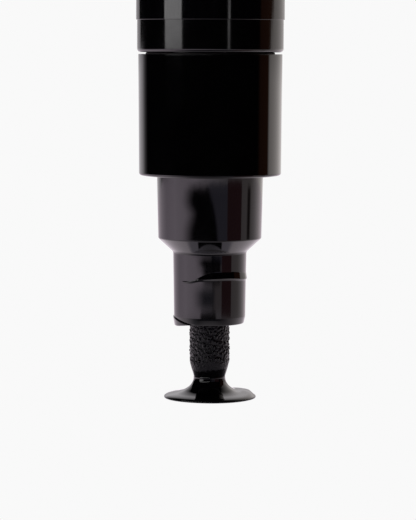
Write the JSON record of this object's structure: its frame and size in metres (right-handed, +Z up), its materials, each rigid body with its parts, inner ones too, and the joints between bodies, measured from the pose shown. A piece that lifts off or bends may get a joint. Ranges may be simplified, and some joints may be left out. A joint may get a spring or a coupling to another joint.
{
  "type": "brush pen",
  "caption": "Black valve-fed brush pen with a porous round nib, stepped nozzle, screw-in front, smooth cylindrical barrel and a cap posted on its tail.",
  "frame": {"origin": "under the middle of the nib, on the surface that the bead of ink lies on", "axes": "+Z up the pen's axis from the nib to the cap; +X towards the snap bead's high side on the narrow nose; -Y towards the viewer of the picture"},
  "size_m": [0.0148, 0.0148, 0.1577],
  "materials": {
    "black_gloss_plastic": "polished black moulding",
    "black_film": "glossy black film",
    "black_rubber": "satin rubber",
    "grey_rubber": "matt grey rubber",
    "natural_acetal": "natural off-white moulding",
    "spring_steel": "drawn stainless wire",
    "inked_felt": "coarse porous felt soaked in black ink",
    "wet_ink": "wet black ink",
    "ball_steel": "polished steel ball",
    "black_matte_plastic": "fine satin black"
  },
  "bodies": {
    "barrel_body": {"barrel": "black_gloss_plastic", "label_sleeve": "black_film", "tail_plug": "black_gloss_plastic", "plug_seal": "black_rubber"},
    "front_seal": {"barrel_gasket": "grey_rubber"},
    "front": {"front_collar": "black_gloss_plastic", "nozzle": "black_gloss_plastic", "nib_guide": "natural_acetal", "valve_seat": "natural_acetal", "seat_gasket": "black_rubber", "valve_cage": "natural_acetal", "valve_spring": "spring_steel"},
    "nib_unit": {"valve_stem": "natural_acetal", "nib": "inked_felt", "ink_bead": "wet_ink"},
    "ball_a": {"mixing_ball_a": "ball_steel"},
    "ball_b": {"mixing_ball_b": "ball_steel"},
    "cap": {"cap_shell": "black_gloss_plastic", "cap_liner": "natural_acetal", "cap_end_disc": "black_matte_plastic"}
  },
  "joints": [
    {"name": "front_advance", "type": "slide", "parent": "barrel_body", "child": "front_seal", "axis": [0, 0, -1], "range_m": [0, 0.006]},
    {"name": "front_unscrew", "type": "hinge", "parent": "front_seal", "child": "front", "pos_m": [0, 0, 0.0345], "axis": [0, 0, -1], "range_deg": [0, 1440]},
    {"name": "nib_press", "type": "slide", "parent": "front", "child": "nib_unit", "axis": [0, 0, 1], "range_m": [0, 0.002], "stiffness_N_per_m": 300, "springref_m": -0.002, "deforming": ["valve_spring"]},
    {"name": "ball_a_run", "type": "slide", "parent": "barrel_body", "child": "ball_a", "axis": [0, 0, 1], "range_m": [0, 0.066]},
    {"name": "ball_b_run", "type": "slide", "parent": "barrel_body", "child": "ball_b", "axis": [0, 0, 1], "range_m": [0, 0.066]},
    {"name": "cap_pull", "type": "slide", "parent": "barrel_body", "child": "cap", "axis": [0, 0, 1], "range_m": [0, 0.01]}
  ],
  "couplings": [
    {"joint": "front_unscrew", "follows": "front_advance", "rad_per_m": 4188.8}
  ]
}
